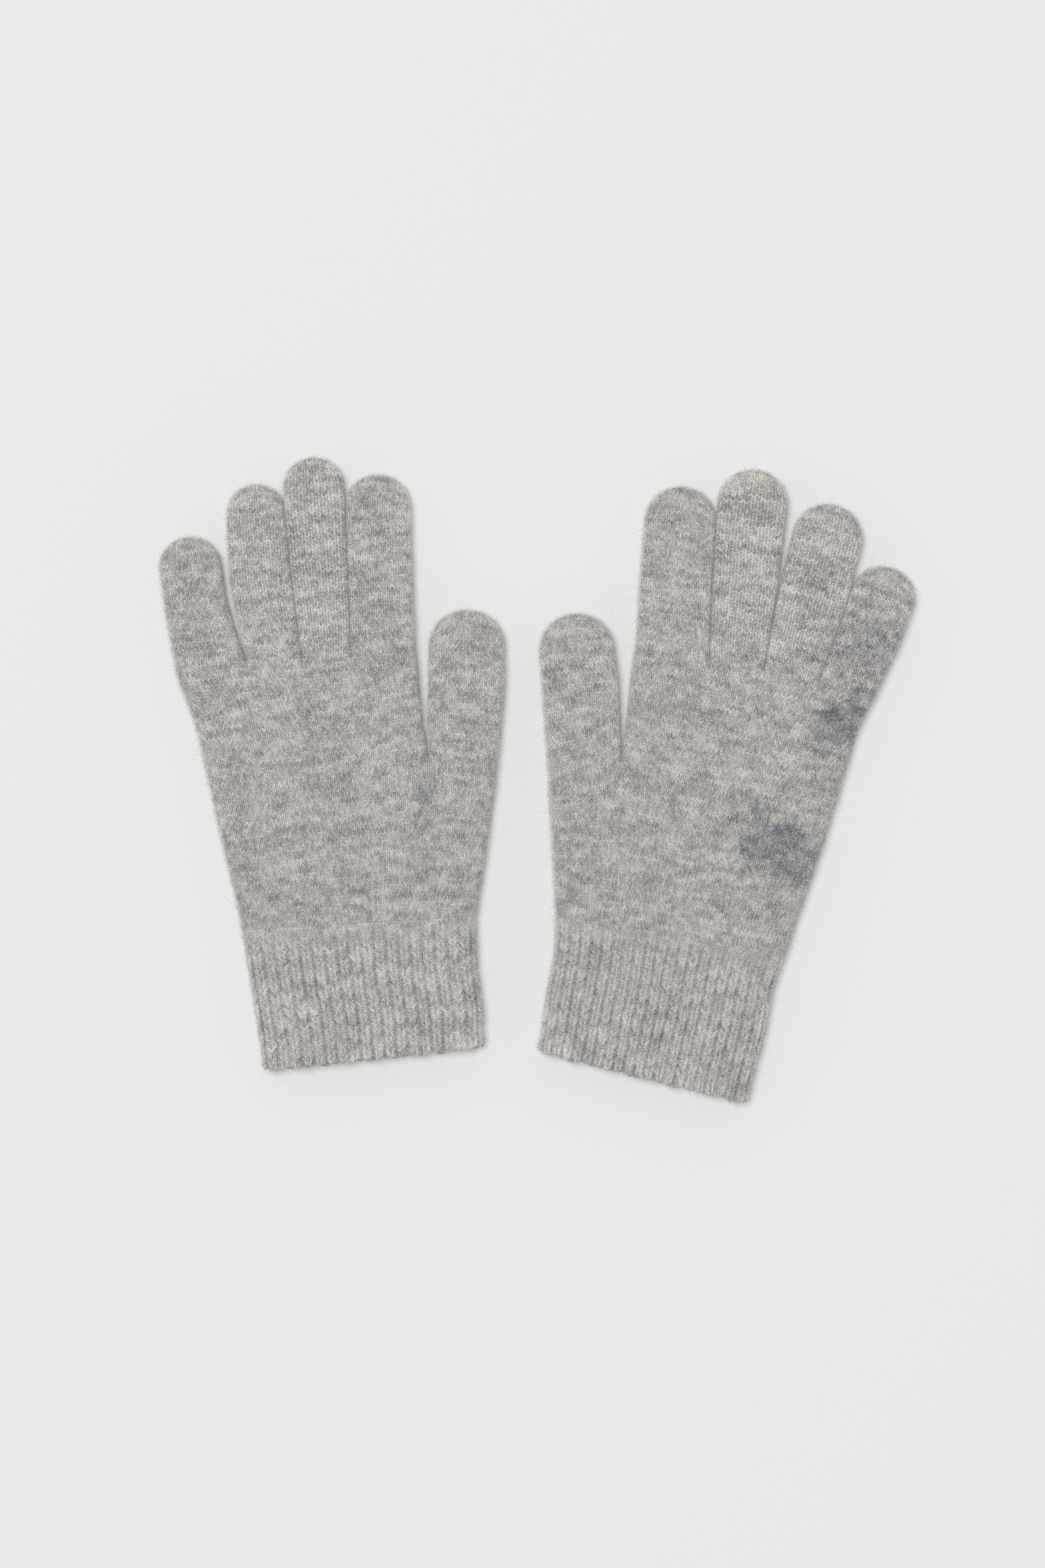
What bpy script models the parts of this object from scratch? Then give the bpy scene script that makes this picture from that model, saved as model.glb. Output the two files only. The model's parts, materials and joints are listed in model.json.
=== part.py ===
"""A pair of seamless knitted gloves lying flat, side by side, thumbs inwards.

Each glove is a set of knitted tubes: a palm, four fingers and a thumb of two
lengths each, a ribbed cuff and the overlocked hem at its mouth. Every length
is a hollow shell, and neighbours meet at the lines where the glove folds.

Frame: the table is Z = 0, +Z up, +Y towards the fingertips, +X to the right,
with the origin under the middle of the pair. Sizes below are millimetres.
"""

import math

import bmesh
import bpy
from mathutils import Vector

MM = 0.001

# Knit and fit
WALL = 2.0               # one layer of brushed knit, flat on the table
SIDE_WALL = 3.0          # where the knit turns round the side of the palm
GAP = 0.3                # clearance between pieces that meet
BODY_THICK = 9.0         # two layers of knit and the room for a hand
HEM_THICK = 9.8          # the overlocked edge stands a little proud
HEM_LENGTH = 3.0
EDGE_ROUND = 4.0         # rounding along the free sides of the palm
CROTCH_WALL = 2.0        # knit left between two neighbouring fingers
BASE_TRIM = 0.4          # a digit's base is this much narrower at each side
WINDOW_TRIM = 0.1        # the palm's ways out are this much lower than its hollow
TIP_WALL = 3.0           # closed end of a finger
PAIR_CENTRE = (-0.22, -0.62)

# Faceting
SIDE_STEPS = 6           # facets round the side of a tube
CAP_STEPS = 6            # rings over a fingertip
CAP_SWEEP = 82.0         # degrees of rounding before a fingertip's flat end
CAP_FLAT = 0.05          # least straight half width in a rounded ring
SIDE_CURVE_STEPS = 2     # facets between two points of a palm's side

# Knit colours, linear
GREY = (0.40, 0.385, 0.37, 1.0)
CUFF_GREY = (0.42, 0.41, 0.39, 1.0)
HEM_GREY = (0.36, 0.35, 0.34, 1.0)
THUMB_GREY = (0.44, 0.42, 0.41, 1.0)
KNIT_ROUGHNESS = 0.95

# Finger rows: (name, start and end of its base along X on the knuckle line,
# middle hinge centre and width, fingertip centre and width, length of the cap)
LEFT = {
    "knuckle_point": (-89.3, 43.9),
    "knuckle_angle": 5.5,
    "fingers": (
        ("little", (-136.4, -109.5), (-129.0, 66.0), 23.0, (-131.0, 79.6), 22.8, 11.4),
        ("ring", (-109.1, -88.8), (-104.6, 74.5), 22.6, (-106.3, 99.0), 21.4, 11.8),
        ("middle", (-88.4, -70.4), (-82.2, 79.5), 20.6, (-84.3, 109.0), 22.6, 12.0),
        ("index", (-70.0, -45.9), (-59.3, 78.5), 23.6, (-60.1, 102.3), 23.8, 12.2),
    ),
    "thumb_base": ((-41.9, 7.8), (-15.3, 2.8)),
    "thumb": ((-26.8, 36.0), 28.4, (-26.7, 49.8), 28.0, 13.8),
    "thumb_middle_angle": -5.0,
    "side_a": ((-111.4, -56.6), (-114.6, -41.0), (-118.4, -26.0), (-121.9, -10.0),
               (-125.4, 6.0), (-129.3, 22.0), (-136.4, 39.4)),
    "side_b": ((-45.9, 48.1), (-44.9, 34.0), (-43.4, 20.0), (-41.9, 7.8)),
    "side_c": ((-15.3, 2.8), (-17.2, -10.0), (-19.2, -24.0), (-21.1, -38.0), (-23.4, -51.1)),
    "cuff": (((-111.4, -56.6), (-23.4, -51.1)), ((-108.6, -73.0), (-23.0, -70.0)),
             ((-105.6, -92.0), (-20.6, -87.0)), ((-103.2, -106.8), (-20.8, -98.0))),
}
RIGHT = {
    "knuckle_point": (85.2, 41.0),
    "knuckle_angle": -11.0,
    "fingers": (
        ("index", (36.9, 64.3), (52.1, 78.0), 26.4, (53.6, 97.6), 26.0, 12.4),
        ("middle", (64.7, 85.0), (78.6, 79.0), 24.6, (81.0, 103.6), 25.6, 12.8),
        ("ring", (85.4, 105.8), (103.9, 69.5), 25.4, (109.4, 91.2), 25.8, 12.2),
        ("little", (106.2, 128.3), (125.0, 53.5), 23.4, (130.3, 68.4), 23.4, 11.4),
    ),
    "thumb_base": ((4.0, 0.8), (31.9, 6.6)),
    "thumb": ((16.1, 36.0), 28.4, (14.7, 48.6), 27.8, 13.6),
    "thumb_middle_angle": 5.0,
    "side_a": ((6.9, -50.5), (6.3, -38.0), (5.5, -24.0), (4.6, -10.0), (4.0, 0.8)),
    "side_b": ((31.9, 6.6), (33.4, 20.0), (35.2, 36.0), (36.9, 50.4)),
    "side_c": ((128.3, 32.6), (121.6, 21.0), (117.6, 9.0), (113.2, -6.0), (108.0, -23.0),
               (103.0, -38.0), (98.0, -52.0), (93.6, -65.4)),
    "cuff": (((6.9, -50.5), (93.6, -65.4)), ((6.6, -64.5), (88.8, -78.5)),
             ((2.9, -84.0), (85.6, -96.0)), ((1.0, -99.6), (79.2, -119.2))),
}


def point(xy, height=0.0):
    """A design point in millimetres as a place in the pair's own frame."""
    return Vector((xy[0] - PAIR_CENTRE[0], xy[1] - PAIR_CENTRE[1], height)) * MM


def direction(degrees):
    """The unit vector that many degrees round from +X, in plan."""
    angle = math.radians(degrees)
    return Vector((math.cos(angle), math.sin(angle), 0.0))


def heading(start, end):
    """The angle of the line from one plan point to another, in degrees."""
    return math.degrees(math.atan2(end[1] - start[1], end[0] - start[0]))


def knit_material(name, colour):
    material = bpy.data.materials.new(name)
    material.use_nodes = True
    shader = material.node_tree.nodes["Principled BSDF"]
    shader.inputs["Base Color"].default_value = colour
    shader.inputs["Roughness"].default_value = KNIT_ROUGHNESS
    shader.inputs["Metallic"].default_value = 0.0
    material.diffuse_color = colour
    return material


def new_object(name, mesh, collection):
    obj = bpy.data.objects.new(name, mesh)
    collection.objects.link(obj)
    return obj


def make_cutter(obj):
    obj.hide_render = True
    obj.display_type = "WIRE"
    return obj


def cut(target, cutter):
    boolean = target.modifiers.new("cut_" + cutter.name, "BOOLEAN")
    boolean.operation = "DIFFERENCE"
    boolean.solver = "EXACT"
    boolean.object = cutter


def oval(half_width, height, lift):
    """A flat tube's cross-section, across and up: straight faces, round sides."""
    radius = height / 2
    flat = half_width - radius
    section = []
    for side, first in ((1, -90), (-1, 90)):
        for step in range(SIDE_STEPS + 1):
            angle = math.radians(first + 180 * step / SIDE_STEPS)
            section.append((side * flat + radius * math.cos(angle),
                            lift + radius + radius * math.sin(angle)))
    return section


def loft(name, rings, collection):
    """A closed body through rings of (centre, angle, half width, height, lift)."""
    bm = bmesh.new()
    loops = []
    for centre, angle, half_width, height, lift in rings:
        across = direction(angle)
        loops.append([bm.verts.new(centre + (across * u + Vector((0, 0, v))) * MM)
                      for u, v in oval(half_width, height, lift)])
    for lower, upper in zip(loops, loops[1:]):
        for i in range(len(lower)):
            j = (i + 1) % len(lower)
            bm.faces.new((lower[i], upper[i], upper[j], lower[j]))
    bm.faces.new(loops[0])
    bm.faces.new(reversed(loops[-1]))
    bmesh.ops.recalc_face_normals(bm, faces=bm.faces)
    mesh = bpy.data.meshes.new(name)
    bm.to_mesh(mesh)
    bm.free()
    return new_object(name, mesh, collection)


def shift(ring, distance):
    """The same ring moved square to its own plane, along the tube."""
    centre, angle, half_width, height, lift = ring
    return (centre + direction(angle + 90) * distance * MM, angle, half_width, height, lift)


def inner(ring):
    """The ring of the hollow inside a tube's ring."""
    centre, angle, half_width, height, lift = ring
    return (centre, angle, half_width - WALL, height - 2 * WALL, lift + WALL)


def hollow_tube(name, rings, parts, cutters):
    """A tube open at both ends."""
    tube = loft(name, rings, parts)
    bore = [shift(inner(rings[0]), -2 * WALL)] + [inner(ring) for ring in rings]
    bore.append(shift(bore[-1], 2 * WALL))
    cut(tube, make_cutter(loft(name + "_bore", bore, cutters)))
    return tube


def cap_rings(pad, cap):
    """Rings that round off a tube past its last full ring, in plan and in thickness."""
    centre, angle, half_width, height, lift = pad
    rings = []
    for step in range(1, CAP_STEPS + 1):
        swing = math.radians(CAP_SWEEP * step / CAP_STEPS)
        thick = height * math.sqrt(math.cos(swing))
        wide = max(half_width * math.cos(swing), thick / 2 + CAP_FLAT)
        ahead = direction(angle + 90) * cap * math.sin(swing) * MM
        rings.append((centre + ahead, angle, wide, thick, lift + (height - thick) / 2))
    return rings


def fingertip(name, rings, cap, parts, cutters):
    """A tube open at its root, with a rounded closed end."""
    tip = loft(name, rings + cap_rings(rings[-1], cap), parts)
    bore = [shift(inner(rings[0]), -2 * WALL)] + [inner(ring) for ring in rings]
    bore += cap_rings(bore[-1], cap - TIP_WALL)
    cut(tip, make_cutter(loft(name + "_bore", bore, cutters)))
    return tip


def set_origin(obj, place, parent):
    """Put an object's origin on its hinge and hang it from its parent."""
    for vertex in obj.data.vertices:
        vertex.co -= place
    obj.location = place - (parent.matrix_world.translation if parent else Vector())
    obj.parent = parent
    bpy.context.view_layer.update()


def carry_cutters(target):
    """Carry a piece's cutters with it as children."""
    for modifier in target.modifiers:
        if modifier.type == "BOOLEAN":
            modifier.object.parent = target
            modifier.object.matrix_parent_inverse = target.matrix_world.inverted()


def add_digit(name, base_ring, middle_ring, pad_ring, cap, parts, cutters, parent, material):
    """One finger or thumb: the length up to its middle hinge and the tip beyond."""
    base = hollow_tube(name + "_base", [shift(base_ring, GAP), shift(middle_ring, -GAP / 2)],
                       parts, cutters)
    tip = fingertip(name + "_tip", [shift(middle_ring, GAP / 2), pad_ring], cap, parts, cutters)
    hinge_height = Vector((0, 0, BODY_THICK * MM))
    set_origin(base, shift(base_ring, GAP / 2)[0] + hinge_height, parent)
    set_origin(tip, middle_ring[0] + hinge_height, base)
    for piece in (base, tip):
        carry_cutters(piece)
        piece.data.materials.append(knit_material(piece.name + "_knit", material))
    return base, tip


def add_finger(side, glove, row, parts, cutters, palm):
    name, (start, end), middle, middle_width, pad, pad_width, cap = row
    angle = glove["knuckle_angle"]
    slope = math.tan(math.radians(angle))
    anchor = glove["knuckle_point"]
    centre_x = (start + end) / 2
    centre = (centre_x, anchor[1] + (centre_x - anchor[0]) * slope)
    base_half = (end - start) / 2 / math.cos(math.radians(angle)) - BASE_TRIM
    base_ring = (point(centre), angle, base_half, BODY_THICK, 0.0)
    middle_ring = (point(middle), angle, middle_width / 2, BODY_THICK, 0.0)
    pad_ring = (point(pad), heading(middle, pad) - 90, pad_width / 2, BODY_THICK, 0.0)
    add_digit(side + name, base_ring, middle_ring, pad_ring, cap, parts, cutters, palm, GREY)


def add_thumb(side, glove, parts, cutters, palm):
    start, end = glove["thumb_base"]
    middle, middle_width, pad, pad_width, cap = glove["thumb"]
    centre = ((start[0] + end[0]) / 2, (start[1] + end[1]) / 2)
    base_half = math.dist(start, end) / 2 - BASE_TRIM
    base_ring = (point(centre), heading(start, end), base_half, BODY_THICK, 0.0)
    middle_ring = (point(middle), glove["thumb_middle_angle"], middle_width / 2, BODY_THICK, 0.0)
    pad_ring = (point(pad), heading(middle, pad) - 90, pad_width / 2, BODY_THICK, 0.0)
    add_digit(side + "thumb", base_ring, middle_ring, pad_ring, cap, parts, cutters, palm,
              THUMB_GREY)


def smooth_side(points):
    """Plan points on an even curve through a side's own points."""
    line = [Vector(p) for p in points]
    line = [2 * line[0] - line[1]] + line + [2 * line[-1] - line[-2]]
    curve = []
    for a, b, c, d in zip(line, line[1:], line[2:], line[3:]):
        for step in range(SIDE_CURVE_STEPS):
            t = step / SIDE_CURVE_STEPS
            curve.append(0.5 * (2 * b + (c - a) * t + (2 * a - 5 * b + 4 * c - d) * t ** 2
                                + (3 * b - a - 3 * c + d) * t ** 3))
    return curve + [line[-2]]


def inset(outline, distance):
    """A clockwise plan outline moved inwards by the same distance all round."""
    moved = []
    for i, here in enumerate(outline):
        before = (here - outline[i - 1]).normalized()
        after = (outline[(i + 1) % len(outline)] - here).normalized()
        normal = Vector((before.y + after.y, -before.x - after.x)).normalized()
        stretch = normal.dot(Vector((after.y, -after.x)))
        moved.append(here + normal * distance / stretch)
    return moved


def slab(name, outline, bottom, top, collection, rounded=()):
    """A plan outline as a solid plate; the rim edges that start at rounded points are marked."""
    bm = bmesh.new()
    rim = bm.edges.layers.float.new("bevel_weight_edge")
    floor = [bm.verts.new(point(p, bottom)) for p in outline]
    roof = [bm.verts.new(point(p, top)) for p in outline]
    bm.faces.new(floor)
    bm.faces.new(reversed(roof))
    for i in range(len(outline)):
        j = (i + 1) % len(outline)
        bm.faces.new((floor[i], roof[i], roof[j], floor[j]))
        if i in rounded:
            bm.edges.get((floor[i], floor[j]))[rim] = 1.0
            bm.edges.get((roof[i], roof[j]))[rim] = 1.0
    bmesh.ops.recalc_face_normals(bm, faces=bm.faces)
    mesh = bpy.data.meshes.new(name)
    bm.to_mesh(mesh)
    bm.free()
    return new_object(name, mesh, collection)


def opening(name, start, end, collection):
    """A box cutter through the palm's end wall, between two plan points of that wall."""
    height = BODY_THICK - 2 * (WALL + WINDOW_TRIM)
    depth = 4 * SIDE_WALL
    width = math.dist(start, end) - 2 * CROTCH_WALL
    centre = point(((start[0] + end[0]) / 2, (start[1] + end[1]) / 2), BODY_THICK / 2)
    bpy.ops.mesh.primitive_cube_add(size=1)
    box = bpy.context.active_object
    box.name = name
    for vertex in box.data.vertices:
        vertex.co = Vector((vertex.co.x * width, vertex.co.y * depth, vertex.co.z * height)) * MM
    box.location = centre
    box.rotation_euler.z = math.radians(heading(start, end))
    for owner in list(box.users_collection):
        owner.objects.unlink(box)
    collection.objects.link(box)
    return make_cutter(box)


def add_palm(side, glove, parts, cutters):
    """The flat body of the glove, open at the wrist and into every finger."""
    sides = [smooth_side(glove[key]) for key in ("side_a", "side_b", "side_c")]
    outline, rounded = [], set()
    for stretch in sides:
        rounded.update(range(len(outline), len(outline) + len(stretch) - 1))
        outline += stretch
    palm = slab(side + "palm", outline, 0.0, BODY_THICK, parts, rounded)
    bevel = palm.modifiers.new("round_sides", "BEVEL")
    bevel.limit_method = "WEIGHT"
    bevel.width = EDGE_ROUND * MM
    bevel.segments = 3
    cavity = slab(side + "palm_cavity", inset(outline, SIDE_WALL), WALL, BODY_THICK - WALL, cutters)
    cut(palm, make_cutter(cavity))
    slope = math.tan(math.radians(glove["knuckle_angle"]))
    anchor = glove["knuckle_point"]
    for row in glove["fingers"]:
        ends = [(x, anchor[1] + (x - anchor[0]) * slope) for x in row[1]]
        cut(palm, opening(side + row[0] + "_way", *ends, cutters))
    cut(palm, opening(side + "thumb_way", *glove["thumb_base"], cutters))
    cut(palm, opening(side + "wrist_way", *glove["cuff"][0], cutters))
    palm.data.materials.append(knit_material(palm.name + "_knit", GREY))
    return palm


def add_cuff(side, glove, parts, cutters, palm):
    """The ribbed cuff and the hem round its mouth, which fold at the wrist together."""
    rings = []
    for start, end in reversed(glove["cuff"]):
        centre = ((start[0] + end[0]) / 2, (start[1] + end[1]) / 2)
        rings.append((point(centre), heading(start, end), math.dist(start, end) / 2,
                      BODY_THICK, 0.0))
    wrist = rings[-1]
    cuff = hollow_tube(side + "cuff", [shift(rings[0], GAP / 2)] + rings[1:-1]
                       + [shift(wrist, -GAP)], parts, cutters)
    mouth = rings[0]
    hem_ring = (mouth[0], mouth[1], mouth[2] + (HEM_THICK - BODY_THICK) / 2, HEM_THICK, 0.0)
    hem = hollow_tube(side + "cuff_hem", [shift(hem_ring, -HEM_LENGTH), shift(hem_ring, -GAP / 2)],
                      parts, cutters)
    set_origin(cuff, shift(wrist, -GAP / 2)[0] + Vector((0, 0, BODY_THICK * MM)), palm)
    set_origin(hem, mouth[0], cuff)
    for piece, colour in ((cuff, CUFF_GREY), (hem, HEM_GREY)):
        carry_cutters(piece)
        piece.data.materials.append(knit_material(piece.name + "_knit", colour))


def add_glove(side, glove, parts, cutters):
    palm = add_palm(side, glove, parts, cutters)
    for row in glove["fingers"]:
        add_finger(side, glove, row, parts, cutters, palm)
    add_thumb(side, glove, parts, cutters, palm)
    add_cuff(side, glove, parts, cutters, palm)


def main():
    for obj in list(bpy.data.objects):
        bpy.data.objects.remove(obj)
    parts = bpy.data.collections.new("knitted_gloves")
    cutters = bpy.data.collections.new("cutters")
    for collection in (parts, cutters):
        bpy.context.scene.collection.children.link(collection)
    add_glove("left_", LEFT, parts, cutters)
    add_glove("right_", RIGHT, parts, cutters)


main()
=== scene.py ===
"""Looks of the pair of knitted gloves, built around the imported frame.

Each glove is drawn the way it is knitted: as tubes of stitches. A stitch has a place along its
row (its wale) and a place up the tube (its course). The outlines come from the CAD nodes, the
stitches are real relief in the meshes, and the yarn's colours follow the same wales and courses.
"""

import json
import math
from functools import partialmethod
from types import SimpleNamespace

import bmesh
import bpy
import numpy as np
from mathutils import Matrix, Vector
from mathutils.bvhtree import BVHTree
from mathutils.geometry import convex_hull_2d
from mathutils.kdtree import KDTree


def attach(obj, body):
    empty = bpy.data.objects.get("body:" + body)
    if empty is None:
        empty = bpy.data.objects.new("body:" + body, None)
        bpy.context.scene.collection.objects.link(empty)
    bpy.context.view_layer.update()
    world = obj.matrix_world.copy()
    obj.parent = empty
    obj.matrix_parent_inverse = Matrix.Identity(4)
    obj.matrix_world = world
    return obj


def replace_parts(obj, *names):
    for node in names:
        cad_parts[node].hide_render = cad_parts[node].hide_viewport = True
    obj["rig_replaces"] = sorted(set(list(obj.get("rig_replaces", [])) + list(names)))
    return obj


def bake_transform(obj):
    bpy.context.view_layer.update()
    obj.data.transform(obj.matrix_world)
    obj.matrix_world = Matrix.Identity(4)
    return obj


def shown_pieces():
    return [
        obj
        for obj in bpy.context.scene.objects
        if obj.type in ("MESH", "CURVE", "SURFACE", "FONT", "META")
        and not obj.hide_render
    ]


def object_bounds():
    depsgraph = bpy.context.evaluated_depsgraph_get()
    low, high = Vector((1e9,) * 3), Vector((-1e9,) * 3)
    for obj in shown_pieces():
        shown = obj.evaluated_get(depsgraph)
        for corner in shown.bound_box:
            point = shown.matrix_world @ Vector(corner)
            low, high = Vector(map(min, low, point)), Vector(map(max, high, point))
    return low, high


MM = 0.001

# Fabric, in metres
COURSE = 1.3 * MM  # height of one stitch
WALE = 1.6 * MM  # width of one stitch on the palm
KNIT_THICKNESS = 1.7 * MM
HALF_HEIGHT = 3.9 * MM  # from the middle of a flat tube to its upper face
MIDDLE_HEIGHT = 4.15 * MM  # middle of the tubes above the table
EDGE_RADIUS = 2.1 * MM  # how far in from its edge a tube is rounded
EDGE_ARC = math.pi / 2 * math.hypot(EDGE_RADIUS, HALF_HEIGHT) / math.sqrt(2)
DIGIT_ARC = EDGE_RADIUS + 1.15 * MM  # the stitches on the sides of the digits are stretched
STITCH_RELIEF = 0.30 * MM
RIB_RELIEF = 0.25 * MM
RIPPLE = 0.30 * MM
COLUMNS = 4  # mesh columns in one plain stitch
RIB_COLUMNS = 10  # mesh columns in one rib
ROWS = 4  # mesh rows in one course

READ_HEIGHT = 4.55 * MM  # the CAD outlines are read at this height above the table
READ_FROM = 150 * MM  # by rays that start this far outside
FOLD_CLEARANCE = 3.5 * MM  # but not this near the gap at a fold
SLIP = 12 * MM  # a ray that gets this far inside an outline has missed it
SIDE_READINGS, DIGIT_READINGS = 41, 40  # readings along a side of a palm or cuff, and of a digit
SHARP = math.radians(20)  # an outline that turns by more than this has a corner
SHORTEST_EDGE = 0.3 * MM
EDGE_SPREAD = 0.12 * MM  # how far the fabric of a digit stands out past the CAD outline
TOUCHING, APART = 1.0 * MM, 2.0 * MM  # gaps between outlines that close up, and that stay open
TOUCH_GAP = 0.02 * MM  # what is left of a gap that closes up

SIDES = ("left_", "right_")
FINGERS = ("little", "ring", "middle", "index")
RIBS = {"left_": 20, "right_": 22}  # ribs across the upper face of each cuff


# ---- places taken from the frame


def flat(vector):
    return np.array([vector[0], vector[1]], float)


def unit(vector):
    return vector / np.linalg.norm(vector)


def across(vector):
    """The vector turned clockwise by a quarter, so that up the glove becomes to its right."""
    return np.array([vector[1], -vector[0]])


def ease(t):
    t = np.clip(t, 0, 1)
    return t * t * (3 - 2 * t)


def mix(a, b, t):
    return a + (b - a) * t


def joint(name):
    return next(flat(j["pos_m"]) for j in frame["joints"] if j["name"] == name)


def outline_corners(node):
    """The corners of a node's outline seen from above."""
    points = [tuple(v.co.xy) for v in frame["nodes"][node].data.vertices]
    hull = [flat(points[i]) for i in convex_hull_2d(points)]
    hull = [p for i, p in enumerate(hull) if np.linalg.norm(p - hull[i - 1]) > SHORTEST_EDGE]
    corners = []
    for i, point in enumerate(hull):
        before, after = unit(point - hull[i - 1]), unit(hull[(i + 1) % len(hull)] - point)
        if math.acos(np.clip(before @ after, -1, 1)) > SHARP:
            corners.append(point)
    return corners


def end_edge(node, place, far=False):
    """The end of a node's outline nearest a place, or furthest from it, from left to right."""
    corners = outline_corners(node)
    edges = zip(corners[-1:] + corners, corners)
    edges = [e for e in edges if abs(e[1][0] - e[0][0]) > abs(e[1][1] - e[0][1])]
    edges.sort(key=lambda e: np.linalg.norm((e[0] + e[1]) / 2 - place), reverse=far)
    return sorted(edges[0], key=lambda p: p[0])


def solid(*nodes):
    """The CAD nodes as one tree for ray casts."""
    corners, faces = [], []
    for node in nodes:
        mesh = frame["nodes"][node].data
        faces += [[i + len(corners) for i in p.vertices] for p in mesh.polygons]
        corners += [v.co.copy() for v in mesh.vertices]
    return BVHTree.FromPolygons(corners, faces)


def edge_offset(tree, point, outward):
    """How far the solid's outline lies from the point, along the outward direction. There is no
    answer where the ray slips through between two of the solid's faces."""
    start = point + outward * READ_FROM
    hit = tree.ray_cast(Vector((*start, READ_HEIGHT)), Vector((*-outward, 0)))[0]
    offset = np.nan if hit is None else (flat(hit) - point) @ outward
    return offset if offset > -SLIP else np.nan


def smooth(values, times):
    """Fills the gaps in a row of values and evens it out so many times, keeping its two ends."""
    values = np.array(values, float)
    places = np.arange(len(values))
    known = ~np.isnan(values)
    values = np.interp(places, places[known], values[known])
    for _ in range(times):
        values[1:-1] = (values[:-2] + 2 * values[1:-1] + values[2:]) / 4
    return values


def touch_of(neighbours, edge, outward):
    """How closely the neighbours touch an edge, from 0 to 1, and how far it spreads to them."""
    if np.isnan(edge).any():
        return np.nan, np.nan
    start = Vector((*(edge + outward * TOUCH_GAP), READ_HEIGHT))
    gap = neighbours.ray_cast(start, Vector((*outward, 0)))[3]
    if gap is None:
        return 0.0, EDGE_SPREAD
    touch = float(ease((APART - gap) / (APART - TOUCHING)))
    return touch, mix(EDGE_SPREAD, gap / 2, touch)


def read_edge(tree, neighbours, places, outward):
    """How far the solid's outline lies from each place, spread to the neighbours, if any, and how
    closely these touch it."""
    offset = np.array([edge_offset(tree, *pair) for pair in zip(places, outward)])
    if not neighbours:
        return offset, np.zeros(len(offset))
    edges = places + offset[:, None] * outward
    touch, spread = np.array([touch_of(neighbours, *pair) for pair in zip(edges, outward)]).T
    return offset + spread, touch


def side_line(tree, start, end, outward, count, neighbours=None):
    """So many points along the solid's side, from start to end, and how closely the neighbours
    touch each of them."""
    t = np.linspace(0, 1, SIDE_READINGS)
    chord = mix(start, end, t[:, None])
    offset, touch = read_edge(tree, neighbours, chord, np.tile(outward, (len(t), 1)))
    near_ends = np.minimum(t, 1 - t) * np.linalg.norm(end - start) < FOLD_CLEARANCE
    offset[near_ends] = touch[near_ends] = np.nan
    offset[[0, -1]] = 0.0
    fine = np.linspace(0, 1, count)
    offset, touch = (np.interp(fine, t, smooth(values, 4)) for values in (offset, touch))
    return mix(start, end, fine[:, None]) + offset[:, None] * outward, touch


# ---- stitches


# Where across a tube the places counted from its left edge give way to those from its right
HAND_OVER_START, HAND_OVER_LENGTH = 0.3, 0.4


def turned(fraction, width, left=1.0, right=1.0, edge_arc=EDGE_ARC):
    """Where a stitch lies across a flat tube, from 0 to 1, when the stitches are evenly spaced
    round its rounded edges. left and right say how far each edge is rounded, from 0 to 1."""
    extra = edge_arc - EDGE_RADIUS
    total = width + extra * (left + right)
    arc = fraction * total

    def reach(a):
        angle = np.clip(a / edge_arc, 0, 1) * math.pi / 2
        return np.where(a < edge_arc, EDGE_RADIUS * (1 - np.cos(angle)), a - extra)

    from_left = mix(arc, reach(arc), left)
    from_right = width - mix(total - arc, reach(total - arc), right)
    share = ease((fraction - HAND_OVER_START) / HAND_OVER_LENGTH)
    return mix(from_left, from_right, share) / width


def scatter(a, b):
    """A repeatable random number from 0 to 1 for each cell of whole numbers."""
    mixed = np.floor(a) * 12.9898 + np.floor(b) * 78.233
    return np.mod(np.abs(np.sin(mixed) * 43758.5453), 1.0)


LEAN = 0.9  # how many courses a leg of a stitch rises from its middle to its side
RIB_LEAN = 1.4  # and in the rib, whose Vs are wider
UNEVEN, RIB_UNEVEN = 0.5, 0.4  # how much the sizes of the stitches differ
RIB_WALES = 3.4  # plain wales that lie above one rib
RIB_START = 9 * MM  # the plain stitches turn into ribs over this length below the wrist
GROOVE = 0.12  # share of a rib's width that its groove takes on each side
RIB_MIDDLE = 0.6  # share of a rib's relief that is sunk into the tube
RIB_STITCH = 1.2  # relief of a rib's Vs, in that of the plain ones


def legs(wale, course, side, lean, uneven):
    """How high a stitch's two legs stand across their width, and how round along their length.
    side goes from 0 at the middle of the V to 1 at its sides."""
    leg = course - lean * side
    bulge = 1 - (2 * side - 1) ** 2
    size = 1 + uneven * (scatter(wale * 2, leg) - 0.5)
    return size * bulge, 0.5 + 0.5 * np.cos(2 * math.pi * leg)


def plain_stitch(wale, course):
    """Height of the plain knit: one V to each wale and course, its legs leaning outwards."""
    side = np.abs(np.mod(wale, 1) - 0.5) * 2
    height, roundness = legs(wale, course, side, LEAN, UNEVEN)
    return STITCH_RELIEF * height * (0.5 + 0.5 * roundness)


def rib_stitch(wale, course):
    """Height of the rib: fat columns of Vs with a deep narrow groove between them."""
    place = np.abs(np.mod(wale, 1) - 0.5)
    column = np.clip(1 - (place / (0.5 - 0.4 * GROOVE)) ** 4, 0, 1)
    side = np.clip(place / (0.5 - GROOVE), 0, 1)
    height, roundness = legs(wale, course, side, RIB_LEAN, RIB_UNEVEN)
    return RIB_RELIEF * (column - RIB_MIDDLE) + RIB_STITCH * STITCH_RELIEF * height * roundness


def ripple(xy):
    """Gentle unevenness of cloth that lies loose: waves in four directions, 6 to 14 mm long."""
    x, y = xy[..., 0] / MM, xy[..., 1] / MM
    wave = np.sin(x / 7.1 + 0.6 * np.sin(y / 9.3)) + np.sin(y / 6.3 + 0.8 * np.sin(x / 11.7))
    wave = wave + 0.8 * np.sin((x + y) / 13.9 + 1.3) + 0.6 * np.sin((x - 1.7 * y) / 10.3)
    return wave * RIPPLE / 3


# ---- meshes


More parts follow.
